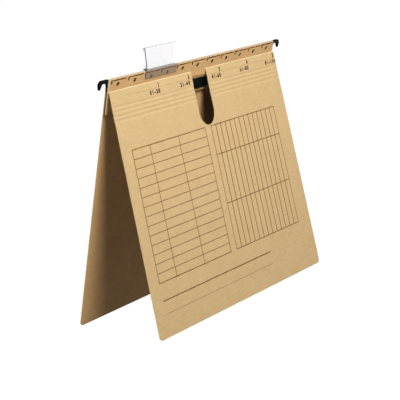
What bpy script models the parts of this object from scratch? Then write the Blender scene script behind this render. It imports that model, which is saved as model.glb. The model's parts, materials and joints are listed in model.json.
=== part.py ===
"""Hanging fastener folder standing open on a table, in metres, +Z up.

The rail runs along X, the front cover leans towards -Y and the back cover towards +Y.
Two frames carry everything. Both start on the cover's fold line: the hang frame follows the back
cover, the cover frame follows the front cover. In both, x runs along the fold, y points from
front to back and z runs up the sheet.
"""
import math

import bmesh
import bpy
from mathutils import Matrix

MM = 0.001

# Overall sizes
WIDTH = 318.0 * MM
COVER_LENGTH = 230.0 * MM
COVER_LEAN = math.radians(14.2)
BACK_LEAN = math.radians(7.9)
CORNER_RADIUS = 5.0 * MM

# Board and fits
BOARD = 0.5 * MM
TOUCH = 0.3 * MM
CREASE_GAP = 0.3 * MM

# Top strip above the fold line and the cover's margin glued below it
STRIP_HEIGHT = 11.8 * MM
MARGIN_DROP = 5.5 * MM

# Punched rows along the strip, counted down from its top
SLOT_COUNT = 11
SLOT_MARGIN = 15.6 * MM
SLOT_PITCH = (WIDTH - 2 * SLOT_MARGIN) / (SLOT_COUNT - 1)
SLOT_DROP = 4.4 * MM
SLOT_WIDTH = 4.4 * MM
SLOT_HEIGHT = 3.4 * MM
SLOT_SLANT = 2.0 * MM
SLIT_DROP = 1.6 * MM
SLIT_HEIGHT = 1.2 * MM
SLIT_OFFSET = 11.5 * MM
SLIT_BRIDGE = 2.4 * MM
NICK_WIDTH = 1.9 * MM
NICK_DEPTH = 2.6 * MM

# Front cover score lines and finger slot
FIRST_CREASE = 14.5 * MM
CREASE_PITCH = 4.1 * MM
CREASE_COUNT = 4
FINGER_WIDTH = 29.0 * MM
FINGER_DEPTH = 54.0 * MM

# Rail and hooks
RAIL_THICK = 1.4 * MM
RAIL_HEIGHT = 10.0 * MM
HOOK_REACH = 14.6 * MM
HOOK_THICK = 2.2 * MM
HOOK_ARM = 3.4 * MM
HOOK_ROOT = 2.4 * MM
HOOK_ROOT_LEVEL = 4.4 * MM
HOOK_CLAW = 4.6 * MM
HOOK_FILLET = 1.5 * MM
HOOK_POINT = 1.0 * MM
HOOK_POINT_OFFSET = 2.0 * MM
HOOK_POINT_LEVEL = 4.2 * MM
HOOK_CORNER = 4.2 * MM
HOOK_EDGE = 0.3 * MM

# Fastener
PRONG_PITCH = 80.0 * MM
FASTENER_GAP = 0.9 * MM
FLAP_MARGIN = 3.4 * MM
BASE_END = 20.0 * MM
BASE_HEIGHT = 8.0 * MM
STEEL = 0.3 * MM
PRONG_WIDTH = 5.0 * MM
PRONG_REACH = 36.0 * MM
PRONG_HOLE = 0.5 * MM
BAR_END = 52.0 * MM
BAR_HEIGHT = 10.4 * MM
BAR_FLANGE = 0.6 * MM
BAR_WEB = 0.6 * MM
BAR_WEB_HEIGHT = 7.0 * MM
SLIDER_LENGTH = 12.0 * MM
SLIDER_WALL = 0.5 * MM
SLIDER_LIP = 0.3 * MM
SLIDER_CHAMFER = 0.8 * MM
SLIDER_OFFSET = 22.0 * MM
SLIDER_REACH = BAR_HEIGHT / 2 + TOUCH
SLIDER_HALF = SLIDER_REACH + SLIDER_WALL
FASTENER_LEVEL = -MARGIN_DROP - FASTENER_GAP - SLIDER_HALF
FLAP_DROP = BAR_HEIGHT / 2 + FLAP_MARGIN - FASTENER_LEVEL

# Clear index tab and its label
TAB_WIDTH = 56.0 * MM
TAB_CENTRE = -69.5 * MM
TAB_HEIGHT = 21.6 * MM
TAB_LEAN = math.radians(15.0)
TAB_WALL = 1.2 * MM
TAB_RIM = 0.6 * MM
TAB_CHANNEL = 2.8 * MM
TAB_RADIUS = 1.0 * MM
TAB_STEP = 1.4 * MM
TAB_CHIN = 1.2 * MM
TAB_FOOT_LEVEL = 4.2 * MM
TAB_FOOT_THICK = 0.7 * MM
TAB_LIP = 4.2 * MM
LABEL_THICK = 0.3 * MM
LABEL_FIT = 0.3 * MM
LABEL_INSET = 3.5 * MM

# Depths in the hang frame, counted from the fold line
COVER_INNER = -CREASE_GAP / 2
COVER_OUTER = COVER_INNER - BOARD
MARGIN_FRONT = CREASE_GAP / 2
STRIP_FRONT = MARGIN_FRONT + BOARD + TOUCH
STRIP_BACK = STRIP_FRONT + BOARD
RAIL_FRONT = STRIP_BACK + TOUCH
BACK_FRONT = RAIL_FRONT + RAIL_THICK + TOUCH
BACK_OUTER = BACK_FRONT + BOARD
RAIL_MID = (STRIP_FRONT + BACK_OUTER) / 2
BAR_BACK = STRIP_FRONT - TOUCH
FLANGE_BACK = BAR_BACK - BAR_WEB
BAR_FRONT = FLANGE_BACK - BAR_FLANGE
TONGUE_BACK = BAR_FRONT - TOUCH
TONGUE_FRONT = TONGUE_BACK - STEEL
FOOT_FRONT = STRIP_FRONT - TOUCH - TAB_FOOT_THICK

# Where the fold line stands, so that both covers rest on the floor and the box is centred
FOLD_HEIGHT = COVER_LENGTH * math.cos(COVER_LEAN) + COVER_INNER * math.sin(COVER_LEAN)
BACK_LENGTH = (FOLD_HEIGHT + BACK_FRONT * math.sin(BACK_LEAN)) / math.cos(BACK_LEAN)
FRONT_REACH = COVER_LENGTH * math.sin(COVER_LEAN) - COVER_OUTER * math.cos(COVER_LEAN)
BACK_REACH = BACK_LENGTH * math.sin(BACK_LEAN) + BACK_OUTER * math.cos(BACK_LEAN)
FOLD_DEPTH = (FRONT_REACH - BACK_REACH) / 2

FOLD = Matrix.Translation((0, FOLD_DEPTH, FOLD_HEIGHT))
HANG = FOLD @ Matrix.Rotation(BACK_LEAN, 4, "X")
COVER = FOLD @ Matrix.Rotation(-COVER_LEAN, 4, "X")


def material(name, colour, roughness, metallic=0.0):
    made = bpy.data.materials.new(name)
    made.use_nodes = True
    shader = made.node_tree.nodes["Principled BSDF"]
    shader.inputs["Base Color"].default_value = (*colour, 1.0)
    shader.inputs["Roughness"].default_value = roughness
    shader.inputs["Metallic"].default_value = metallic
    return made


def kraft(name):
    return material(name, (0.76, 0.55, 0.29), 0.85)


def black_plastic(name):
    return material(name, (0.02, 0.022, 0.025), 0.45)


def steel(name):
    return material(name, (0.62, 0.63, 0.64), 0.35, 1.0)


def arc(centre, radius, start, end, steps):
    """Points on an arc, angles in degrees."""
    angles = [math.radians(start + (end - start) * i / steps) for i in range(steps + 1)]
    return [(centre[0] + radius * math.cos(a), centre[1] + radius * math.sin(a)) for a in angles]


def extrude(name, outline, low, high, along, frame, origin, look):
    """A prism on a closed outline. Along x the outline is (y, z), along y it is (x, z)."""
    mesh = bpy.data.meshes.new(name)
    build = bmesh.new()
    rings = []
    for depth in (low, high):
        ring = []
        for p, q in outline:
            point = (depth, p, q) if along == "x" else (p, depth, q)
            ring.append(build.verts.new([point[i] - origin[i] for i in range(3)]))
        rings.append(ring)
    build.faces.new(rings[0])
    build.faces.new(rings[1])
    count = len(outline)
    for i in range(count):
        j = (i + 1) % count
        build.faces.new((rings[0][i], rings[0][j], rings[1][j], rings[1][i]))
    bmesh.ops.recalc_face_normals(build, faces=build.faces[:])
    build.to_mesh(mesh)
    build.free()
    made = bpy.data.objects.new(name, mesh)
    bpy.context.scene.collection.objects.link(made)
    made.matrix_world = frame @ Matrix.Translation(origin)
    if look:
        mesh.materials.append(look)
    return made


def rectangle(p_low, p_high, q_low, q_high):
    return [(p_low, q_low), (p_high, q_low), (p_high, q_high), (p_low, q_high)]


def cut(target, cutter):
    """Takes the cutter's volume away from the target."""
    cutter.hide_render = True
    cutter.display_type = "WIRE"
    bite = target.modifiers.new(cutter.name, "BOOLEAN")
    bite.operation = "DIFFERENCE"
    bite.solver = "EXACT"
    bite.object = cutter


def soften(target, width):
    """Takes the sharpness off every edge."""
    bevel = target.modifiers.new("soften", "BEVEL")
    bevel.width = width
    bevel.segments = 2
    bevel.limit_method = "ANGLE"
    bevel.angle_limit = math.radians(40)


def join_cutters(name, pieces):
    """One cutter object from several prisms that share a frame."""
    mesh = bpy.data.meshes.new(name)
    build = bmesh.new()
    for piece in pieces:
        build.from_mesh(piece.data)
    build.to_mesh(mesh)
    build.free()
    made = bpy.data.objects.new(name, mesh)
    bpy.context.scene.collection.objects.link(made)
    made.matrix_world = pieces[0].matrix_world.copy()
    for piece in pieces:
        bpy.data.objects.remove(piece)
    return made


def back_sheet():
    """Back cover, fold over the rail, strip and flap as one sheet."""
    crown = (RAIL_MID, STRIP_HEIGHT - (BACK_OUTER - STRIP_FRONT) / 2)
    outer = (BACK_OUTER - STRIP_FRONT) / 2
    inner = outer - BOARD
    profile = [(BACK_OUTER, -BACK_LENGTH)]
    profile += arc(crown, outer, 0, 180, 8)
    profile += [(STRIP_FRONT, -FLAP_DROP), (STRIP_BACK, -FLAP_DROP)]
    profile += arc(crown, inner, 180, 0, 8)
    profile += [(BACK_FRONT, -BACK_LENGTH)]
    sheet = extrude("back_sheet", profile, -WIDTH / 2, WIDTH / 2, "x", HANG, (0, 0, 0), kraft("back_sheet"))
    cut(sheet, strip_punches())
    cut(sheet, corner_cutters())
    return sheet


def strip_punches():
    """Slanted slots, the slits along the top and the two prong holes."""
    through = (STRIP_FRONT - TOUCH, STRIP_BACK + TOUCH)
    pieces = []

    def punch(outline):
        name = "punch_%02d" % len(pieces)
        pieces.append(extrude(name, outline, *through, "y", HANG, (0, 0, 0), None))

    for i in range(SLOT_COUNT):
        x = (i - (SLOT_COUNT - 1) / 2) * SLOT_PITCH
        punch(slanted_slot(x))
        left = x - SLIT_OFFSET
        right = min(left + SLOT_PITCH, WIDTH / 2) - SLIT_BRIDGE
        punch(nicked_slit(left, right))
    for side in (-1, 1):
        x = side * PRONG_PITCH / 2
        half = STEEL / 2 + PRONG_HOLE
        tall = PRONG_WIDTH / 2 + PRONG_HOLE
        punch(rectangle(x - half, x + half, FASTENER_LEVEL - tall, FASTENER_LEVEL + tall))
    return join_cutters("strip_punches", pieces)


def slanted_slot(x):
    """Parallelogram standing on a slant, its top to the right."""
    high = STRIP_HEIGHT - SLOT_DROP
    low = high - SLOT_HEIGHT
    left = x - (SLOT_WIDTH + SLOT_SLANT) / 2
    outline = [(left, low), (left + SLOT_WIDTH, low)]
    return outline + [(left + SLOT_WIDTH + SLOT_SLANT, high), (left + SLOT_SLANT, high)]


def nicked_slit(left, right):
    """Slit along the strip, its left end turned down."""
    high = STRIP_HEIGHT - SLIT_DROP
    low = high - SLIT_HEIGHT
    outline = [(left, high), (left, low - NICK_DEPTH), (left + NICK_WIDTH, low - NICK_DEPTH)]
    return outline + [(left + NICK_WIDTH, low), (right, low), (right, high)]


def corner_cutters():
    """Rounds the two free corners of the back cover."""
    through = (BACK_FRONT - TOUCH, BACK_OUTER + TOUCH)
    pieces = []
    for side in (-1, 1):
        x = side * (WIDTH / 2 - CORNER_RADIUS)
        z = -BACK_LENGTH + CORNER_RADIUS
        bend = arc((x, z), CORNER_RADIUS, 0 if side > 0 else 180, -90 if side > 0 else 270, 6)
        spare = CORNER_RADIUS + TOUCH
        corner = [(x, z - spare), (x + side * spare, z - spare), (x + side * spare, z)]
        pieces.append(extrude("corner", bend + corner, *through, "y", HANG, (0, 0, 0), None))
    return join_cutters("back_corners", pieces)


def hinge_margin():
    """The cover's folded-in top edge, glued on the flap."""
    outline = rectangle(MARGIN_FRONT, MARGIN_FRONT + BOARD, -MARGIN_DROP, -CREASE_GAP)
    extrude("hinge_margin", outline, -WIDTH / 2, WIDTH / 2, "x", HANG, (0, 0, 0), kraft("hinge_margin"))


def front_bands():
    """Bands between the fold and the score lines, cut in two by the finger slot."""
    creases = [0.0] + [FIRST_CREASE + i * CREASE_PITCH for i in range(CREASE_COUNT)]
    for i in range(CREASE_COUNT):
        top = -creases[i] - (CREASE_GAP / 2 if i else 0)
        bottom = -creases[i + 1] + CREASE_GAP / 2
        origin = (0, COVER_INNER if i else 0, -creases[i])
        for side, name in ((-1, "left"), (1, "right")):
            name = "front_band_%d_%s" % (i + 1, name)
            edges = sorted((side * FINGER_WIDTH / 2, side * WIDTH / 2))
            outline = rectangle(*edges, bottom, top)
            extrude(name, outline, COVER_OUTER, COVER_INNER, "y", COVER, origin, kraft(name))
    return creases[-1]


def front_cover(crease):
    """Main panel of the front cover with the round end of the finger slot."""
    half = WIDTH / 2
    top = -crease - CREASE_GAP / 2
    finger = FINGER_WIDTH / 2
    outline = [(-half, top)]
    outline += arc((-half + CORNER_RADIUS, -COVER_LENGTH + CORNER_RADIUS), CORNER_RADIUS, 180, 270, 6)
    outline += arc((half - CORNER_RADIUS, -COVER_LENGTH + CORNER_RADIUS), CORNER_RADIUS, 270, 360, 6)
    outline += [(half, top), (finger, top)]
    outline += arc((0, -FINGER_DEPTH + finger), finger, 0, -180, 16)
    outline += [(-finger, top)]
    origin = (0, COVER_INNER, -crease)
    extrude("front_cover", outline, COVER_OUTER, COVER_INNER, "y", COVER, origin, kraft("front_cover"))


def hanger_rail():
    top = STRIP_HEIGHT - BOARD - RAIL_THICK / 2
    outline = rectangle(-WIDTH / 2, WIDTH / 2, top - RAIL_HEIGHT, top)
    depth = (RAIL_FRONT, RAIL_FRONT + RAIL_THICK)
    look = material("hanger_rail", (0.03, 0.03, 0.032), 0.4, 0.6)
    extrude("hanger_rail", outline, *depth, "y", HANG, (0, 0, 0), look)


def hooks():
    """Hook at each end of the rail: a tapered root, an arm over the frame bar and a claw behind it."""
    start = WIDTH / 2 + TOUCH
    end = WIDTH / 2 + HOOK_REACH
    top = STRIP_HEIGHT
    seat = top - HOOK_ARM
    claw = end - HOOK_CLAW
    outline = [(start, HOOK_ROOT_LEVEL), (start + HOOK_ROOT, seat)]
    outline += arc((claw - HOOK_FILLET, seat - HOOK_FILLET), HOOK_FILLET, 90, 0, 4)
    outline += arc((end - HOOK_POINT_OFFSET, HOOK_POINT_LEVEL), HOOK_POINT, 180, 360, 8)
    outline += arc((end - HOOK_CORNER, top - HOOK_CORNER), HOOK_CORNER, 0, 90, 6)
    outline += [(start, top)]
    depth = (RAIL_MID - HOOK_THICK / 2, RAIL_MID + HOOK_THICK / 2)
    for side, name in ((-1, "left_hook"), (1, "right_hook")):
        mirrored = [(side * x, z) for x, z in outline]
        hook = extrude(name, mirrored, *depth, "y", HANG, (0, 0, 0), black_plastic(name))
        soften(hook, HOOK_EDGE)


def fastener_base():
    """Steel strip behind the flap."""
    half = PRONG_PITCH / 2 + BASE_END
    outline = rectangle(-half, half, FASTENER_LEVEL - BASE_HEIGHT / 2, FASTENER_LEVEL + BASE_HEIGHT / 2)
    depth = (STRIP_BACK + TOUCH, STRIP_BACK + TOUCH + STEEL)
    extrude("fastener_base", outline, *depth, "y", HANG, (0, 0, 0), steel("fastener_base"))


def prongs():
    """Tongues that come through the flap and the bar and lie flat along the bar."""
    for side, name in ((-1, "left_prong"), (1, "right_prong")):
        root = PRONG_PITCH / 2
        plan = [
            (root - STEEL / 2, STRIP_BACK),
            (root + STEEL / 2, STRIP_BACK),
            (root + STEEL / 2, TONGUE_BACK),
            (root + PRONG_REACH, TONGUE_BACK),
            (root + PRONG_REACH, TONGUE_FRONT),
            (root - STEEL / 2, TONGUE_FRONT),
        ]
        low = FASTENER_LEVEL - PRONG_WIDTH / 2
        plate(name, [(side * x, y) for x, y in plan], low, low + PRONG_WIDTH, steel(name))


def plate(name, plan, low, high, look):
    """A prism along z on an (x, y) outline in the hang frame."""
    outline = [(y, -x) for x, y in plan]
    made = extrude(name, outline, low, high, "x", HANG, (0, 0, 0), look)
    made.data.transform(Matrix.Rotation(-math.pi / 2, 4, "Y"))
    return made


def compressor_bar():
    """T-shaped bar: a narrow web on the flap and a wide flange in front of it."""
    web = BAR_WEB_HEIGHT / 2
    flange = BAR_HEIGHT / 2
    profile = [
        (BAR_BACK, -web),
        (BAR_BACK, web),
        (FLANGE_BACK, web),
        (FLANGE_BACK, flange),
        (BAR_FRONT, flange),
        (BAR_FRONT, -flange),
        (FLANGE_BACK, -flange),
        (FLANGE_BACK, -web),
    ]
    profile = [(y, FASTENER_LEVEL + z) for y, z in profile]
    half = PRONG_PITCH / 2 + BAR_END
    look = black_plastic("compressor_bar")
    bar = extrude("compressor_bar", profile, -half, half, "x", HANG, (0, 0, 0), look)
    through = (BAR_FRONT - TOUCH, BAR_BACK + TOUCH)
    holes = []
    for side in (-1, 1):
        x = side * PRONG_PITCH / 2
        wide = STEEL / 2 + PRONG_HOLE
        tall = PRONG_WIDTH / 2 + PRONG_HOLE
        outline = rectangle(x - wide, x + wide, FASTENER_LEVEL - tall, FASTENER_LEVEL + tall)
        holes.append(extrude("hole", outline, *through, "y", HANG, (0, 0, 0), None))
    cut(bar, join_cutters("bar_holes", holes))


def sliders():
    """Locks that clasp the bar's flange and run over the tongues."""
    hollow_front = TONGUE_FRONT - TOUCH
    front = hollow_front - SLIDER_WALL
    lip_front = FLANGE_BACK + TOUCH
    lip_back = lip_front + SLIDER_LIP
    lip = BAR_WEB_HEIGHT / 2 + TOUCH
    half_profile = [
        (front, SLIDER_HALF - SLIDER_CHAMFER),
        (front + SLIDER_CHAMFER, SLIDER_HALF),
        (lip_back, SLIDER_HALF),
        (lip_back, lip),
        (lip_front, lip),
        (lip_front, SLIDER_REACH),
        (hollow_front + SLIDER_CHAMFER / 2, SLIDER_REACH),
        (hollow_front, SLIDER_REACH - SLIDER_CHAMFER / 2),
    ]
    profile = half_profile + [(y, -z) for y, z in reversed(half_profile)]
    profile = [(y, FASTENER_LEVEL + z) for y, z in profile]
    for side, name in ((-1, "left_slider"), (1, "right_slider")):
        x = side * (PRONG_PITCH / 2 + SLIDER_OFFSET)
        origin = (x, front, FASTENER_LEVEL)
        half = SLIDER_LENGTH / 2
        extrude(name, profile, x - half, x + half, "x", HANG, origin, black_plastic(name))


def tab_frame():
    """Frame on the tab's lower front edge, z running up its leaning wall."""
    start = Matrix.Translation((TAB_CENTRE, FOOT_FRONT - TAB_STEP, STRIP_HEIGHT + TOUCH))
    return HANG @ start @ Matrix.Rotation(-TAB_LEAN, 4, "X")


def index_tab():
    """Clear holder: a foot before the strip, a lip over the fold and a leaning wall with two channels."""
    inner = TAB_WALL + LABEL_THICK + 2 * LABEL_FIT
    depth = inner + TAB_RIM
    foot_drop = STRIP_HEIGHT + TOUCH - TAB_FOOT_LEVEL
    foot_back = TAB_STEP + TAB_FOOT_THICK
    lip_end = TAB_STEP + TAB_LIP
    lean, tilt = math.sin(TAB_LEAN), math.cos(TAB_LEAN)
    brow = TAB_HEIGHT - TAB_RADIUS
    floor = 2 * TAB_RIM + lip_end * lean
    ceiling = TAB_HEIGHT - TAB_RIM

    def hang(y, z):
        """A point given along the strip, turned into the leaning tab frame."""
        return (y * tilt - z * lean, y * lean + z * tilt)

    outline = [hang(TAB_STEP, 0), hang(TAB_STEP, -foot_drop), hang(foot_back, -foot_drop), hang(foot_back, 0)]
    outline += [hang(lip_end, 0), hang(lip_end, TAB_RIM), (depth, floor), (depth, floor + TAB_CHANNEL)]
    outline += [(inner, floor + TAB_CHANNEL), (inner, floor), (TAB_WALL, floor), (TAB_WALL, ceiling)]
    outline += [(inner, ceiling), (inner, ceiling - TAB_CHANNEL), (depth, ceiling - TAB_CHANNEL)]
    outline += arc((depth - TAB_RADIUS, brow), TAB_RADIUS, 0, 90, 6)
    outline += arc((TAB_RADIUS, brow), TAB_RADIUS, 90, 180, 6)
    outline += arc((TAB_CHIN, TAB_CHIN), TAB_CHIN, 180, 270, 6)
    half = TAB_WIDTH / 2
    look = material("index_tab", (0.9, 0.92, 0.95), 0.12)
    extrude("index_tab", outline, -half, half, "x", tab_frame(), (0, 0, 0), look)
    label_front = TAB_WALL + LABEL_FIT
    label = rectangle(label_front, label_front + LABEL_THICK, floor + LABEL_FIT, ceiling - LABEL_FIT)
    half -= LABEL_INSET
    paper = material("tab_label", (0.93, 0.93, 0.92), 0.7)
    extrude("tab_label", label, -half, half, "x", tab_frame(), (0, 0, 0), paper)


for old in list(bpy.context.scene.objects):
    bpy.data.objects.remove(old)
back_sheet()
hinge_margin()
front_cover(front_bands())
hanger_rail()
hooks()
fastener_base()
prongs()
compressor_bar()
sliders()
index_tab()
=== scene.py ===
"""Looks of a hanging fastener folder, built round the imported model. Lengths are in metres.

Two frames carry the added pieces, as in the model: the cover frame lies on the front cover and the
hang frame on the back cover. Both start on the cover's fold line; x runs along the fold, y from
front to back and z up the sheet. A place on the cover is given as x and the distance v below the fold.
The driving values come first, then sizes read from the model, materials, pieces and the stage.
"""
import json
import math

import bmesh
import bpy
from mathutils import Matrix, Vector


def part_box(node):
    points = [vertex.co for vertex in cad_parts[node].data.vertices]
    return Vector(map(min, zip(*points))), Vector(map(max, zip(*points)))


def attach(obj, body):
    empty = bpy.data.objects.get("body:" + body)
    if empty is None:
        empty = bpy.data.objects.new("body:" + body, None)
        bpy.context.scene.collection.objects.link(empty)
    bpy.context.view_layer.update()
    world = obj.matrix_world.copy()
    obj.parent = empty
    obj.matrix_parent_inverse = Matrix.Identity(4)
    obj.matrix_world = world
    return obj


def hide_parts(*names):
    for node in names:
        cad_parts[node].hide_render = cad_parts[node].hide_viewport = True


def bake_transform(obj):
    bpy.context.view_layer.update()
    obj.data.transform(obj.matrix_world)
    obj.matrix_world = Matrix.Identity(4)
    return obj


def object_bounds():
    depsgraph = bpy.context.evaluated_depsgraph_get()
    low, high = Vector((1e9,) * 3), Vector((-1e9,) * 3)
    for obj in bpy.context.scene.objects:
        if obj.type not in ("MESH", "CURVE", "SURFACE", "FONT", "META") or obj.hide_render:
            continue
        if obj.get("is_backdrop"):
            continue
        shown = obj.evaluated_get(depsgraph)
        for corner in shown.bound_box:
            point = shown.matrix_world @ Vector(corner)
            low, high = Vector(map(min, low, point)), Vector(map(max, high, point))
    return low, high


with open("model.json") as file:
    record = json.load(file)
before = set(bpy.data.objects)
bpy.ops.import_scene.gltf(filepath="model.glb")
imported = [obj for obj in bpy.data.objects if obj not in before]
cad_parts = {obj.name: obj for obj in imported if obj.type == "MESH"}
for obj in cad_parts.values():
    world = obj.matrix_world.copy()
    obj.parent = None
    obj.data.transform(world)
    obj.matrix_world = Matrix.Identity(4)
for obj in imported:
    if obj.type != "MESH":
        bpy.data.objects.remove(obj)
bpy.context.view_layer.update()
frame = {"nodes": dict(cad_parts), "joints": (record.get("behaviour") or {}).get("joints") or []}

MM = 0.001
NODES = frame["nodes"]
JOINTS = {joint["name"]: joint for joint in frame["joints"]}

# Front cover
CORNER_RADIUS = 5.0 * MM
CORNER_STEPS = 12
FINGER_DEPTH = 54.0 * MM
FINGER_STEPS = 36
SCORE_COUNT = 4
GROOVE_DEPTH = 0.22 * MM
GROOVE_STEPS = 18
BOARD_EDGE = 0.1 * MM
ROLL_STEPS = 24

# Twist of the front cover: how far its lower corners stand back, and the cells that follow the twist
TWIST_LEFT = 4.0 * MM
TWIST_RIGHT = -2.5 * MM
TWIST_CELL = 14.0 * MM

# How deep print and burrs are sunk into the board
SUNK = 0.02 * MM

# Print on the front cover: lines in a table are lifted a little, rows more than columns
ROW_LIFT = 0.04 * MM
COLUMN_LIFT = 0.03 * MM
FINE_LINE = 0.6 * MM
COLUMN_LINE = 0.75 * MM
GRID_LINE = 1.05 * MM
BAND_LINE = 0.73 * MM
BORDER_LINE = 0.8 * MM
TABLE_TOP = 55.4 * MM
TABLE_BOTTOM = 179.9 * MM
TABLE_ROWS = 14
LIST_LEFT = -142.0 * MM
LIST_RIGHT = -10.1 * MM
LIST_COLUMNS = (-111.6 * MM, -60.5 * MM)
GRID_LEFT = 1.5 * MM
GRID_RIGHT = 132.6 * MM
GRID_COLUMNS = 14
GRID_BANDS = (84.4 * MM, 133.5 * MM)
WRITING_LEFT = -141.7 * MM
WRITING_RIGHT = 63.0 * MM

# Lines to write on: the distance below the fold and the width of each
WRITING_LINES = ((196.5 * MM, 1.0 * MM), (208.9 * MM, 0.3 * MM))

# Index along the top of the front cover: a number at each mark and the sheets it stands for below
INDEX_MARKS = (-76.1 * MM, -20.7 * MM, 40.2 * MM, 97.9 * MM, 155.2 * MM)
NUMERAL_SIZE = 5.2 * MM
NUMERAL_BASE = 5.5 * MM
NUMERAL_SWELL = 0.32 * MM
SHEETS_PER_MARK = 20
SHEETS_SIZE = 5.4 * MM
SHEETS_BASE = 11.3 * MM
SHEETS_SWELL = 0.34 * MM
SHEETS_SPACING = 1.5
SHEETS_SHIFT = 8.4 * MM
INDEX_RULE_LEVEL = 6.2 * MM
INDEX_RULE_START = -132.0 * MM
INDEX_RULE_WIDTH = 0.16 * MM

# Strip: burrs round its slots, its greyer crown, its pale ends, partly a painted highlight, and the outer
# edge that gets no painted shade
SLOT_COUNT = 11
SLOT_MARGIN = 15.6 * MM
SLOT_LEVEL = 5.7 * MM
SLOT_WIDTH = 4.4 * MM
SLOT_HEIGHT = 3.4 * MM
SLOT_SLANT = 2.0 * MM
BURR_WIDTH = 0.35 * MM
BURR_LIFT = 0.08 * MM
CROWN_DEPTH = 1.7 * MM
END_BAND_WIDTH = 3.0 * MM
OUTER_EDGE = 1.0 * MM

# Tab: how far above the strip its smoky foot fades out
FOOT_FADE = 0.6 * MM

# Edges of the moulded and pressed pieces, angles in degrees
SOFT_EDGE = 0.12 * MM
SOFT_ANGLE = 40.0
SHARP_ANGLE = 35.0
EDGE_STEPS = 2

# Lengths that count as none
TINY = 0.01 * MM

# Board and ink colours; a pair holds the dark and the light clouds of a material, a share is how much shows
COVER_TONES = (0.568, 0.398, 0.196), (0.596, 0.417, 0.209)
BACK_TONES = (0.610, 0.374, 0.163), (0.657, 0.403, 0.178)
# Paler, redder board for the hinge margin: painted light for the strong light it gets inside the finger
# slot
MARGIN_LIGHT_TONES = (0.680, 0.400, 0.160), (0.730, 0.430, 0.175)
# Paler board for the fold roll: a painted highlight along the rounded fold
FOLD_HIGHLIGHT_TONES = (0.70, 0.53, 0.30), (0.76, 0.58, 0.34)
FIBRE_TINTS = (0.95, 0.94, 0.93), (1.04, 1.04, 1.04)
DARK_FLECK = (0.30, 0.18, 0.075)
PALE_FLECK = (0.74, 0.58, 0.36)
CUT_SIDE = (0.76, 0.60, 0.36)
CROWN_TINT = (0.77, 0.885, 1.26)
# Pale band at the strip's ends: partly the cut board's pale core, partly a painted highlight
END_FACE_AND_HIGHLIGHT = (0.62, 0.48, 0.31)
# Painted shade for the sides of the strip's punched holes and slits
HOLE_SHADE = (0.10, 0.055, 0.02)
CUT_SHARE = 0.6
END_SHARE = 0.8
TABLE_BROWN = (0.13, 0.06, 0.006)
INDEX_BROWN = (0.035, 0.016, 0.004)
RULE_BROWN = (0.22, 0.13, 0.04)
INK_FADE = 1.6

# Colours of the other materials
PLASTIC_TONES = (0.0008, 0.0026, 0.0012), (0.0018, 0.0044, 0.0024)
STEEL_TONES = (0.38, 0.39, 0.40), (0.47, 0.48, 0.49)
RAIL_TONES = (0.018, 0.009, 0.002), (0.026, 0.013, 0.003)
CLEAR_TONES = (0.86, 0.85, 0.88), (0.91, 0.90, 0.93)
SMOKY_FOOT = (0.27, 0.20, 0.16)
# Dark rims of the clear holder: painted shade for the darkness clear plastic shows along its edges
RIM_SHADE = (0.05, 0.06, 0.075)
WALL_ALPHA = 0.09
FOOT_ALPHA = 0.24
RIM_ALPHA = 0.9
RIM_START = 0.05
CARD_TONES = (0.79, 0.78, 0.79), (0.82, 0.81, 0.815)
BACKDROP_GREY = (0.03, 0.03, 0.03, 1.0)
WHITE = (1.0, 1.0, 1.0, 1.0)

# Shader values: the span that a noise mostly fills, and where a normal starts and ends to count as facing
NOISE_LOW, NOISE_HIGH = 0.3, 0.7
FACING_START, FACING_END = 0.75, 0.9

# Sockets of a colour mix, whose names are shared with its other kinds
MIX_SHARE, MIX_FIRST, MIX_SECOND, MIX_RESULT = 0, 6, 7, 2

# Camera, light and backdrop: angles in degrees, the lens in millimetres, aims counted from the fold
CAMERA_PLACE = (-1.3403, -0.7615, 0.4496)
CAMERA_TURN = (77.0331, -0.0927, -60.1072)
CAMERA_LENS = 143.934
KEY_AIM = (0.35, 0.0, 0.08)
KEY_SPREAD = 150.0
LEFT_AIM = (-0.1, 0.0, -0.12)
RIGHT_AIM = (0.1, 0.0, -0.12)
REAR_AIM = (0.0, 0.0, -0.1)
WORLD_LIGHT = 0.02
BACKDROP_REACH = 8.0
BACKDROP_BEND = 2.0
BACKDROP_STEPS = 8
BACKDROP_HEIGHT = 6.0
BACKDROP_SIDES = 48
BACKDROP_GLOW = 1.0


def lean(node):
    """Angle between a node's largest face and the vertical."""
    normal = max(NODES[node].data.polygons, key=lambda face: face.area).normal
    return math.atan2(abs(normal.z), abs(normal.y))


# Frames on the fold line, upright and along each cover
FOLD = Matrix.Translation(JOINTS["cover_fold"]["pos_m"])
COVER = FOLD @ Matrix.Rotation(-lean("front_cover"), 4, "X")
HANG = FOLD @ Matrix.Rotation(lean("back_sheet"), 4, "X")


def extent(node, axes):
    """Lowest and highest corner of a node, measured in a frame."""
    inverse = axes.inverted()
    points = [inverse @ vertex.co for vertex in NODES[node].data.vertices]
    low = Vector([min(point[i] for point in points) for i in range(3)])
    high = Vector([max(point[i] for point in points) for i in range(3)])
    return low, high


def score_level(number):
    """Distance of a score line below the fold."""
    place = Vector(JOINTS["score_line_%d" % number]["pos_m"])
    return -(COVER.inverted() @ place).z


# Sizes and places read from the model
PANEL_LOW, PANEL_HIGH = extent("front_cover", COVER)
HALF_WIDTH = PANEL_HIGH.x
COVER_LENGTH = -PANEL_LOW.z
COVER_OUTER = PANEL_LOW.y
COVER_INNER = PANEL_HIGH.y
FINGER_HALF = extent("front_band_1_right", COVER)[0].x
STRIP_FRONT = extent("back_sheet", HANG)[0].y
STRIP_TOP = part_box("back_sheet")[1][2]
TAB_CENTRE = sum(corner[0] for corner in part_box("index_tab")) / 2
SCORES = [score_level(i + 1) for i in range(SCORE_COUNT)]
SCORE_PITCH = SCORES[1] - SCORES[0]
PANEL_TOP = SCORES[-1] + SCORE_PITCH / 2
SIDES = {"left": (-HALF_WIDTH, -FINGER_HALF), "right": (FINGER_HALF, HALF_WIDTH)}


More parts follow.
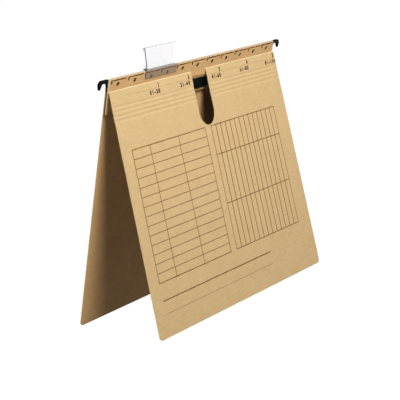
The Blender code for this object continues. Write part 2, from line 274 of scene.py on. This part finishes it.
class Look:
    """A material being made: its main shader and short ways to add nodes to it."""

    def __init__(self, name):
        self.material = bpy.data.materials.new(name)
        self.material.use_nodes = True
        self.tree = self.material.node_tree
        self.shader = self.tree.nodes["Principled BSDF"]
        self.place = self.tree.nodes.new("ShaderNodeTexCoord")

    def feed(self, socket, value):
        """Links a socket to another one, or sets it to a plain value."""
        if isinstance(value, bpy.types.NodeSocket):
            self.tree.links.new(value, socket)
        else:
            socket.default_value = value

    def feed_named(self, node, inputs):
        """Feeds inputs by name, with an underscore for each space in a name."""
        for name, value in inputs.items():
            self.feed(node.inputs[name.replace("_", " ")], value)

    def add(self, kind, **inputs):
        """A new node of a kind, with its inputs fed."""
        node = self.tree.nodes.new(kind)
        self.feed_named(node, inputs)
        return node

    def set(self, **inputs):
        """Feeds the main shader."""
        self.feed_named(self.shader, inputs)

    def noise(self, scale, detail, stretch=(1.0, 1.0, 1.0)):
        """Noise in the piece's own coordinates, drawn out along an axis by a small stretch."""
        mapping = self.add("ShaderNodeMapping", Vector=self.place.outputs["Object"], Scale=stretch)
        made = self.add("ShaderNodeTexNoise", Vector=mapping.outputs["Vector"], Scale=scale, Detail=detail)
        return made.outputs["Fac"]

    def ramp(self, value, low_at, low, high_at, high):
        """A colour that runs from low to high as the value does."""
        made = self.add("ShaderNodeValToRGB", Fac=value)
        for end, place, colour in zip(made.color_ramp.elements, (low_at, high_at), (low, high)):
            end.position = place
            end.color = (*colour, 1.0)
        return made.outputs["Color"]

    def grey(self, value, low_at, low, high_at, high):
        """A number that runs from low to high as the value does."""
        span = {"From_Min": low_at, "From_Max": high_at, "To_Min": low, "To_Max": high}
        return self.add("ShaderNodeMapRange", Value=value, **span).outputs["Result"]

    def tones(self, noise, pair):
        """A colour that runs through a pair of tones with a noise."""
        dark, light = pair
        return self.ramp(noise, NOISE_LOW, dark, NOISE_HIGH, light)

    def shades(self, noise, low, high):
        """A number that runs from low to high with a noise."""
        return self.grey(noise, NOISE_LOW, low, NOISE_HIGH, high)

    def mix(self, share, first, second, how="MIX"):
        """A share of the second colour over the first."""
        made = self.add("ShaderNodeMix")
        made.data_type = "RGBA"
        made.blend_type = how
        for index, value in ((MIX_SHARE, share), (MIX_FIRST, first), (MIX_SECOND, second)):
            self.feed(made.inputs[index], (*value, 1.0) if isinstance(value, tuple) else value)
        return made.outputs[MIX_RESULT]

    def math(self, how, first, second=0.0):
        """A number worked out from one or two others."""
        made = self.add("ShaderNodeMath")
        made.operation = how
        self.feed(made.inputs[0], first)
        self.feed(made.inputs[1], second)
        return made.outputs[0]

    def bump(self, height, strength, distance):
        """Fine relief on the main shader."""
        made = self.add("ShaderNodeBump", Height=height, Strength=strength, Distance=distance)
        self.set(Normal=made.outputs["Normal"])

    def parts(self, output):
        """The x, y and z of one of the piece's own vectors, its place or its normal."""
        return self.add("ShaderNodeSeparateXYZ", Vector=self.place.outputs[output]).outputs

    def facing(self, axis, sign):
        """One on the faces that look along an axis, or against it if the sign is negative."""
        along = self.math("MULTIPLY", self.parts("Normal")[axis], sign)
        return self.grey(along, FACING_START, 0.0, FACING_END, 1.0)

    def cut_sides(self):
        """One on the left, right and lower sides of a piece."""
        ends = self.math("MAXIMUM", self.facing("X", 1.0), self.facing("X", -1.0))
        return self.math("MAXIMUM", ends, self.facing("Z", -1.0))


def strip_wear(look, board):
    """Marks on the back sheet: a greyer, bluer crown, pale strip ends that are partly a painted highlight,
    and painted shade in the punched holes.
    """
    place = look.parts("Object")
    off_centre = look.math("ABSOLUTE", place["X"])
    # Greyer, bluer tint along the top of the strip
    crown = look.grey(place["Z"], STRIP_TOP - CROWN_DEPTH, 0.0, STRIP_TOP - CROWN_DEPTH / 2, 1.0)
    board = look.mix(crown, board, look.mix(1.0, board, CROWN_TINT, "MULTIPLY"))
    # Pale band at the strip's ends above the fold: partly the board's pale core, partly a painted highlight
    above_fold = look.math("GREATER_THAN", place["Z"], FOLD.translation.z)
    end = look.grey(off_centre, HALF_WIDTH - END_BAND_WIDTH, 0.0, HALF_WIDTH - END_BAND_WIDTH / 2, END_SHARE)
    board = look.mix(look.math("MULTIPLY", above_fold, end), board, END_FACE_AND_HIGHLIGHT)
    # Painted shade on cut faces that look sideways or down, away from the strip's outer ends: the holes,
    # the slits and the sheet's lower cut edges
    inside = look.math("LESS_THAN", off_centre, HALF_WIDTH - OUTER_EDGE)
    return look.mix(look.math("MULTIPLY", inside, look.cut_sides()), board, HOLE_SHADE)


def kraft_look(name, tones, wear=None):
    """Brown board: long fibres, soft clouds, flecks and pale cut sides, and extra marks where they are
    given, such as painted shade and highlight.
    """
    look = Look(name)
    cloud = look.noise(scale=60.0, detail=5.0)
    fibre = look.noise(scale=420.0, detail=5.0, stretch=(0.35, 1.0, 1.0))
    fleck = look.noise(scale=1500.0, detail=2.0, stretch=(0.3, 1.0, 1.0))
    board = look.mix(1.0, look.tones(cloud, tones), look.tones(fibre, FIBRE_TINTS), "MULTIPLY")
    dark_share = look.grey(fleck, low_at=0.66, low=0.0, high_at=0.74, high=0.22)
    board = look.mix(dark_share, board, DARK_FLECK)
    pale_share = look.grey(fleck, low_at=0.27, low=0.16, high_at=0.34, high=0.0)
    board = look.mix(pale_share, board, PALE_FLECK)
    board = look.mix(look.math("MULTIPLY", look.cut_sides(), CUT_SHARE), board, CUT_SIDE)
    # Extra marks: on the back sheet, its greyer crown, a painted highlight and painted shade
    if wear:
        board = wear(look, board)
    look.set(Base_Color=board, Roughness=look.shades(fibre, 0.78, 0.92), Specular_IOR_Level=0.02)
    look.bump(fibre, strength=0.2, distance=0.15 * MM)
    return look.material


def ink_look(name, colour):
    """Printing ink that lets the board's fibres through a little."""
    look = Look(name)
    wear = look.noise(scale=700.0, detail=4.0, stretch=(0.4, 1.0, 1.0))
    faded = tuple(INK_FADE * part for part in colour)
    body = look.ramp(wear, low_at=0.45, low=colour, high_at=0.8, high=faded)
    look.set(Base_Color=body, Roughness=look.shades(wear, 0.6, 0.8), Specular_IOR_Level=0.03)
    look.bump(wear, strength=0.1, distance=0.1 * MM)
    return look.material


def black_plastic_look():
    """Moulded black plastic with a fine grain."""
    look = Look("black_plastic")
    grain = look.noise(scale=1800.0, detail=3.0)
    body = look.tones(look.noise(scale=60.0, detail=2.0), PLASTIC_TONES)
    look.set(Base_Color=body, Roughness=look.shades(grain, 0.42, 0.58), Specular_IOR_Level=0.02)
    look.bump(grain, strength=0.15, distance=0.1 * MM)
    return look.material


def steel_look():
    """Tinned steel strip, brushed along its length."""
    look = Look("brushed_steel")
    brush = look.noise(scale=2600.0, detail=4.0, stretch=(0.03, 1.0, 1.0))
    body = look.tones(look.noise(scale=90.0, detail=2.0), STEEL_TONES)
    look.set(Base_Color=body, Roughness=look.shades(brush, 0.24, 0.42), Metallic=1.0)
    look.bump(brush, strength=0.12, distance=0.1 * MM)
    return look.material


def rail_look():
    """Dark lacquered rail with a slight orange peel."""
    look = Look("rail_lacquer")
    peel = look.noise(scale=700.0, detail=2.0)
    body = look.tones(look.noise(scale=50.0, detail=3.0), RAIL_TONES)
    look.set(Base_Color=body, Roughness=look.shades(peel, 0.45, 0.6), Specular_IOR_Level=0.02)
    look.bump(peel, strength=0.1, distance=0.1 * MM)
    return look.material


def clear_plastic_look():
    """Clear holder: almost unseen over its label, smoky at its foot on the board, and dark at its rims with
    painted shade.
    """
    look = Look("clear_plastic")
    haze = look.noise(scale=120.0, detail=3.0)
    place = look.parts("Object")
    foot = look.grey(place["Z"], STRIP_TOP, 1.0, STRIP_TOP + FOOT_FADE, 0.0)
    # Painted shade on the rims: the top face and the end faces whose normal points away from the holder's
    # middle
    outward = look.math("SIGN", look.math("SUBTRACT", place["X"], TAB_CENTRE))
    rim = look.math("MAXIMUM", look.facing("X", outward), look.facing("Z", 1.0))
    body = look.mix(foot, look.tones(haze, CLEAR_TONES), SMOKY_FOOT)
    body = look.mix(look.math("GREATER_THAN", rim, RIM_START), body, RIM_SHADE)
    wall = look.grey(foot, 0.0, WALL_ALPHA, 1.0, FOOT_ALPHA)
    alpha = look.math("MAXIMUM", wall, look.math("MULTIPLY", rim, RIM_ALPHA))
    look.set(Base_Color=body, Alpha=alpha, Roughness=look.shades(haze, 0.06, 0.14))
    return look.material


def label_look():
    """White card insert."""
    look = Look("label_card")
    fibre = look.noise(scale=900.0, detail=4.0)
    body = look.tones(look.noise(scale=40.0, detail=2.0), CARD_TONES)
    look.set(Base_Color=body, Roughness=look.shades(fibre, 0.6, 0.75))
    look.bump(fibre, strength=0.08, distance=0.1 * MM)
    return look.material


COVER_KRAFT = kraft_look("cover_kraft", COVER_TONES)
BACK_KRAFT = kraft_look("back_kraft", BACK_TONES, strip_wear)
LIT_MARGIN_BOARD = kraft_look("margin_painted_light", MARGIN_LIGHT_TONES)
FOLD_HIGHLIGHT_KRAFT = kraft_look("fold_highlight_kraft", FOLD_HIGHLIGHT_TONES)
TABLE_INK = ink_look("brown_ink", TABLE_BROWN)
DARK_INK = ink_look("dark_ink", INDEX_BROWN)
FAINT_INK = ink_look("faint_ink", RULE_BROWN)
BLACK_PLASTIC = black_plastic_look()
STEEL = steel_look()
CAD_LOOKS = {
    "back_sheet": BACK_KRAFT,
    "hinge_margin": LIT_MARGIN_BOARD,
    "left_hook": BLACK_PLASTIC,
    "right_hook": BLACK_PLASTIC,
    "compressor_bar": BLACK_PLASTIC,
    "left_slider": BLACK_PLASTIC,
    "right_slider": BLACK_PLASTIC,
    "fastener_base": STEEL,
    "left_prong": STEEL,
    "right_prong": STEEL,
    "hanger_rail": rail_look(),
    "index_tab": clear_plastic_look(),
    "tab_label": label_look(),
}


def paint_nodes():
    """Gives the model's own pieces their materials."""
    for name, look in CAD_LOOKS.items():
        NODES[name].material_slots[0].material = look


def soft_edges():
    """Breaks the sharp edges of the moulded pieces."""
    for name in ("compressor_bar", "left_slider", "right_slider", "hanger_rail"):
        bevel = NODES[name].modifiers.new("soft_edge", "BEVEL")
        bevel.width = SOFT_EDGE
        bevel.segments = EDGE_STEPS
        bevel.limit_method = "ANGLE"
        bevel.angle_limit = math.radians(SOFT_ANGLE)


def add_piece(name, build, axes, look):
    """Turns a mesh under construction in a frame into an object at the origin."""
    bmesh.ops.transform(build, matrix=axes, verts=build.verts[:])
    bmesh.ops.recalc_face_normals(build, faces=build.faces[:])
    mesh = bpy.data.meshes.new(name)
    build.to_mesh(mesh)
    build.free()
    mesh.materials.append(look)
    piece = bpy.data.objects.new(name, mesh)
    bpy.context.scene.collection.objects.link(piece)
    return piece


def twist(build):
    """Turns the board out of flat: below the fold one side stands back and the other forward."""
    for vertex in build.verts:
        across = (vertex.co.x / HALF_WIDTH + 1) / 2
        reach = TWIST_LEFT * (1 - across) + TWIST_RIGHT * across
        vertex.co.y -= reach * vertex.co.z / COVER_LENGTH


def cover_piece(name, build, look):
    """A piece of the front cover, turned with its board."""
    twist(build)
    return add_piece(name, build, COVER, look)


def smooth(piece):
    """Shades a piece smoothly between its sharp edges."""
    piece.data.shade_smooth()
    piece.data.set_sharp_from_angle(angle=math.radians(SHARP_ANGLE))


def arc(centre, radius, start, end, steps):
    """Points on an arc, angles in degrees."""
    angles = [math.radians(start + (end - start) * i / steps) for i in range(steps + 1)]
    return [(centre[0] + radius * math.cos(a), centre[1] + radius * math.sin(a)) for a in angles]


def between(low, high, count):
    """Places that divide a length into equal parts, both ends left out."""
    return [low + (high - low) * i / count for i in range(1, count)]


def corners(build, rings):
    """Vertices at rings of points."""
    return [[build.verts.new(point) for point in ring] for ring in rings]


def band(build, near, far):
    """Faces between two rings of vertices."""
    count = len(near)
    for i in range(count):
        j = (i + 1) % count
        build.faces.new((near[i], near[j], far[j], far[i]))


def loft(build, rings):
    """Closed skin through rings of points, with a face on the first and the last ring."""
    loops = corners(build, rings)
    for near, far in zip(loops, loops[1:]):
        band(build, near, far)
    build.faces.new(loops[0])
    build.faces.new(loops[-1])


def cut_cells(build):
    """Cuts a sheet of the cover into cells, small enough to follow the twist."""
    for axis, low, high in ((0, -HALF_WIDTH, HALF_WIDTH), (2, -COVER_LENGTH, -PANEL_TOP)):
        normal = Vector([float(axis == i) for i in range(3)])
        for place in between(low, high, round((high - low) / TWIST_CELL)):
            geometry = build.verts[:] + build.edges[:] + build.faces[:]
            bmesh.ops.bisect_plane(build, geom=geometry, plane_co=normal * place, plane_no=normal)


def groove(v):
    """How deep the board is pressed in at a distance below the fold."""
    depth = 0.0
    for score in SCORES:
        away = abs(v - score) / (SCORE_PITCH / 2)
        if away < 1:
            depth += GROOVE_DEPTH * (1 + math.cos(math.pi * away)) / 2
    return depth


def creased_board(number, side):
    """The board round a score line, to the middle of the bands beside it; the first reaches the fold."""
    score = SCORES[number - 1]
    levels = [score + SCORE_PITCH * (i / GROOVE_STEPS - 0.5) for i in range(GROOVE_STEPS + 1)]
    if number == 1:
        levels.insert(0, 0.0)
    profile = [(COVER_OUTER + groove(v), -v) for v in levels]
    profile += [(COVER_INNER + groove(v), -v) for v in reversed(levels)]
    build = bmesh.new()
    loft(build, [[(x, y, z) for y, z in profile] for x in SIDES[side]])
    cut_cells(build)
    piece = cover_piece("creased_board_%d_%s" % (number, side), build, COVER_KRAFT)
    smooth(piece)
    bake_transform(piece)
    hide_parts("front_band_%d_%s" % (number, side))


def panel_outline():
    """Outline of the main panel, round at its lower corners and at the end of the finger slot."""
    low = -COVER_LENGTH + CORNER_RADIUS
    outline = [(-HALF_WIDTH, -PANEL_TOP)]
    outline += arc((-HALF_WIDTH + CORNER_RADIUS, low), CORNER_RADIUS, 180, 270, CORNER_STEPS)
    outline += arc((HALF_WIDTH - CORNER_RADIUS, low), CORNER_RADIUS, 270, 360, CORNER_STEPS)
    outline += [(HALF_WIDTH, -PANEL_TOP), (FINGER_HALF, -PANEL_TOP)]
    outline += arc((0, -FINGER_DEPTH + FINGER_HALF), FINGER_HALF, 0, -180, FINGER_STEPS)
    outline += [(-FINGER_HALF, -PANEL_TOP)]
    return outline


def cover_sheet():
    """Main panel of the front cover below the score lines, with softened cut edges."""
    build = bmesh.new()
    loft(build, [[(x, y, z) for x, z in panel_outline()] for y in (COVER_OUTER, COVER_INNER)])
    rim = [
        edge for edge in build.edges
        if abs(edge.verts[0].co.y - edge.verts[1].co.y) < TINY
        and max(vertex.co.z for vertex in edge.verts) < -PANEL_TOP - MM
    ]
    bmesh.ops.bevel(build, geom=rim, offset=BOARD_EDGE, segments=EDGE_STEPS, affect="EDGES", profile=0.5)
    cut_cells(build)
    piece = cover_piece("cover_sheet", build, COVER_KRAFT)
    smooth(piece)
    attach(piece, "cover_panel")
    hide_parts("front_cover")


def fold_roll(side):
    """The rounded fold at the top of the cover, round about the fold line, so it fits at any opening."""
    ring = arc((0, 0), -COVER_OUTER, 0, 360, ROLL_STEPS)[:-1]
    build = bmesh.new()
    loft(build, [[(x, y, z) for y, z in ring] for x in SIDES[side]])
    # The roll's paler board is a painted highlight along the fold
    piece = cover_piece("fold_roll_" + side, build, FOLD_HIGHLIGHT_KRAFT)
    smooth(piece)
    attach(piece, "cover_band_1")


def bar(build, left, right, top, bottom, lift):
    """A flat printed stroke on the cover, between two places along x and two distances below the fold."""
    rings = []
    for y in (COVER_OUTER + SUNK, COVER_OUTER - lift):
        rings.append([(left, y, -top), (right, y, -top), (right, y, -bottom), (left, y, -bottom)])
    loft(build, rings)


def row(build, left, right, v, width):
    """A printed line along the fold."""
    bar(build, left, right, v - width / 2, v + width / 2, ROW_LIFT)


def column(build, x, top, bottom, width):
    """A printed line down the cover."""
    bar(build, x - width / 2, x + width / 2, top, bottom, COLUMN_LIFT)


def table_border(build, left, right):
    """Four lines round a table."""
    for v in (TABLE_TOP, TABLE_BOTTOM):
        row(build, left - BORDER_LINE / 2, right + BORDER_LINE / 2, v, BORDER_LINE)
    for x in (left, right):
        column(build, x, TABLE_TOP, TABLE_BOTTOM, BORDER_LINE)


def printed(name, build, body, look):
    """Puts a piece of print on a body of the cover."""
    piece = cover_piece(name, build, look)
    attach(piece, body)


def list_table():
    """Table of rows with three columns."""
    build = bmesh.new()
    table_border(build, LIST_LEFT, LIST_RIGHT)
    for v in between(TABLE_TOP, TABLE_BOTTOM, TABLE_ROWS):
        row(build, LIST_LEFT, LIST_RIGHT, v, FINE_LINE)
    for x in LIST_COLUMNS:
        column(build, x, TABLE_TOP, TABLE_BOTTOM, COLUMN_LINE)
    printed("list_table", build, "cover_panel", TABLE_INK)


def grid_table():
    """Table of narrow columns in three bands."""
    build = bmesh.new()
    table_border(build, GRID_LEFT, GRID_RIGHT)
    for v in GRID_BANDS:
        row(build, GRID_LEFT, GRID_RIGHT, v, BAND_LINE)
    for x in between(GRID_LEFT, GRID_RIGHT, GRID_COLUMNS):
        column(build, x, TABLE_TOP, TABLE_BOTTOM, GRID_LINE)
    printed("grid_table", build, "cover_panel", TABLE_INK)


def writing_lines():
    """Lines to write on below the tables."""
    build = bmesh.new()
    for v, width in WRITING_LINES:
        row(build, WRITING_LEFT, WRITING_RIGHT, v, width)
    printed("writing_lines", build, "cover_panel", TABLE_INK)


def set_number(build, body, centre, base, size, swell, spacing=1.0):
    """Sets a plain number on the cover, its middle and its foot at given places, its strokes swollen."""
    text = bpy.data.curves.new("number", "FONT")
    text.body = body
    text.size = size
    text.bevel_depth = swell
    text.bevel_resolution = 0
    text.space_character = spacing
    text.align_x = "CENTER"
    holder = bpy.data.objects.new("number", text)
    shape = bpy.data.meshes.new_from_object(holder)
    flatten = Matrix.Scale(ROW_LIFT / swell, 4, (0, 0, 1))
    upright = Matrix.Rotation(math.pi / 2, 4, "X")
    shape.transform(Matrix.Translation((centre, COVER_OUTER, -base)) @ upright @ flatten)
    build.from_mesh(shape)
    bpy.data.objects.remove(holder)


def index_numerals():
    """Plain numbers along the top of the cover, one at each mark."""
    build = bmesh.new()
    for mark, x in enumerate(INDEX_MARKS, 1):
        set_number(build, str(mark), x, NUMERAL_BASE, NUMERAL_SIZE, NUMERAL_SWELL)
    printed("index_numerals", build, "cover_band_1", DARK_INK)


def index_sheets():
    """The first and the last sheet number below each mark."""
    build = bmesh.new()
    for mark, x in enumerate(INDEX_MARKS):
        body = "%02d-%02d" % (mark * SHEETS_PER_MARK + 1, (mark + 1) * SHEETS_PER_MARK)
        set_number(build, body, x - SHEETS_SHIFT, SHEETS_BASE, SHEETS_SIZE, SHEETS_SWELL, SHEETS_SPACING)
    printed("index_sheets", build, "cover_band_1", DARK_INK)


def index_rule():
    """A fine rule between the marks and the sheet numbers."""
    build = bmesh.new()
    for left, right in ((INDEX_RULE_START, -FINGER_HALF), (FINGER_HALF, HALF_WIDTH)):
        row(build, left, right, INDEX_RULE_LEVEL, INDEX_RULE_WIDTH)
    printed("index_rule", build, "cover_band_1", FAINT_INK)


def slanted(x, width, height, y):
    """Corners of a slot that leans to the right."""
    shift = SLOT_SLANT * height / SLOT_HEIGHT / 2
    low, high = SLOT_LEVEL - height / 2, SLOT_LEVEL + height / 2
    return [
        (x - width / 2 - shift, y, low),
        (x + width / 2 - shift, y, low),
        (x + width / 2 + shift, y, high),
        (x - width / 2 + shift, y, high),
    ]


def slot_burrs():
    """Raised fibre round each punched slot of the strip."""
    pitch = 2 * (HALF_WIDTH - SLOT_MARGIN) / (SLOT_COUNT - 1)
    wide, high = SLOT_WIDTH + 2 * BURR_WIDTH, SLOT_HEIGHT + 2 * BURR_WIDTH
    build = bmesh.new()
    for i in range(SLOT_COUNT):
        x = (i - (SLOT_COUNT - 1) / 2) * pitch
        inside = slanted(x, SLOT_WIDTH, SLOT_HEIGHT, STRIP_FRONT + SUNK)
        crest = slanted(x, SLOT_WIDTH, SLOT_HEIGHT, STRIP_FRONT - BURR_LIFT)
        outside = slanted(x, wide, high, STRIP_FRONT + SUNK)
        loops = corners(build, (inside, crest, outside))
        for near, far in zip(loops, loops[1:] + loops[:1]):
            band(build, near, far)
    piece = add_piece("slot_burrs", build, HANG, BACK_KRAFT)
    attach(piece, "folder_back")


def backdrop_look():
    """Pale glowing floor that the lamps hardly change."""
    look = Look("pale_backdrop")
    look.set(Base_Color=BACKDROP_GREY, Roughness=0.9, Specular_IOR_Level=0.0)
    look.set(Emission_Color=WHITE, Emission_Strength=BACKDROP_GLOW)
    return look.material


def backdrop():
    """Pale floor below the folder that bends up into a round wall."""
    bend = (BACKDROP_REACH - BACKDROP_BEND, BACKDROP_BEND)
    profile = [(0, 0)]
    profile += arc(bend, BACKDROP_BEND, -90, 0, BACKDROP_STEPS)
    profile += [(BACKDROP_REACH, BACKDROP_HEIGHT)]
    build = bmesh.new()
    line = [build.verts.new((radius, 0, height)) for radius, height in profile]
    for near, far in zip(line, line[1:]):
        build.edges.new((near, far))
    bmesh.ops.spin(build, geom=build.verts[:] + build.edges[:], axis=(0, 0, 1), cent=(0, 0, 0),
                   angle=2 * math.pi, steps=BACKDROP_SIDES, use_merge=True)
    bmesh.ops.remove_doubles(build, verts=build.verts[:], dist=MM)
    floor = Matrix.Translation((0, 0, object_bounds()[0][2]))
    piece = add_piece("backdrop", build, floor, backdrop_look())
    smooth(piece)
    piece.visible_diffuse = False
    piece.visible_shadow = False
    piece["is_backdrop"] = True


def lamp(name, azimuth, elevation, distance, size, power, aim):
    """Square soft box off the fold, its azimuth counted to the left of the front, that faces its aim."""
    azimuth, elevation = math.radians(azimuth), math.radians(elevation)
    level = math.cos(elevation)
    towards = Vector((-math.sin(azimuth) * level, -math.cos(azimuth) * level, math.sin(elevation)))
    light = bpy.data.lights.new(name, "AREA")
    light.size = size
    light.energy = power
    holder = bpy.data.objects.new(name, light)
    holder.location = FOLD.translation + towards * distance
    back = towards * distance - Vector(aim)
    holder.rotation_euler = back.to_track_quat("Z", "Y").to_euler()
    bpy.context.scene.collection.objects.link(holder)
    return light


def lamps():
    """A key lamp in front, a fill lamp at each side and one lamp behind."""
    fill = {"elevation": 8.0, "distance": 2.5, "size": 0.7}
    key = lamp("key", azimuth=24.0, elevation=45.0, distance=1.15, size=0.55, power=14.6, aim=KEY_AIM)
    key.spread = math.radians(KEY_SPREAD)
    right = lamp("right_fill", azimuth=280.0, power=20.0, aim=RIGHT_AIM, **fill)
    lamp("left_fill", azimuth=80.0, power=34.0, aim=LEFT_AIM, **fill)
    lamp("rear", azimuth=205.0, elevation=25.0, distance=1.8, size=0.8, power=35.0, aim=REAR_AIM)
    # No bounced light from these two, so that the inside of the folder stays dark
    for light in (key, right):
        light.cycles.max_bounces = 0


def world_light():
    """Faint even light from all round."""
    world = bpy.data.worlds.new("studio")
    world.use_nodes = True
    sky = world.node_tree.nodes["Background"]
    sky.inputs["Color"].default_value = WHITE
    sky.inputs["Strength"].default_value = WORLD_LIGHT
    bpy.context.scene.world = world


def camera():
    """Camera at the photograph's angle."""
    view = bpy.data.cameras.new("view")
    view.lens = CAMERA_LENS
    holder = bpy.data.objects.new("view", view)
    holder.location = CAMERA_PLACE
    holder.rotation_euler = [math.radians(angle) for angle in CAMERA_TURN]
    bpy.context.scene.collection.objects.link(holder)
    bpy.context.scene.camera = holder


def front_cover():
    """The board of the front cover, from the fold down."""
    for side in SIDES:
        fold_roll(side)
        for number in range(1, SCORE_COUNT + 1):
            creased_board(number, side)
    cover_sheet()


paint_nodes()
front_cover()
list_table()
grid_table()
writing_lines()
index_numerals()
index_sheets()
index_rule()
slot_burrs()
soft_edges()
backdrop()
lamps()
world_light()
camera()
bpy.context.scene.view_settings.view_transform = "Standard"
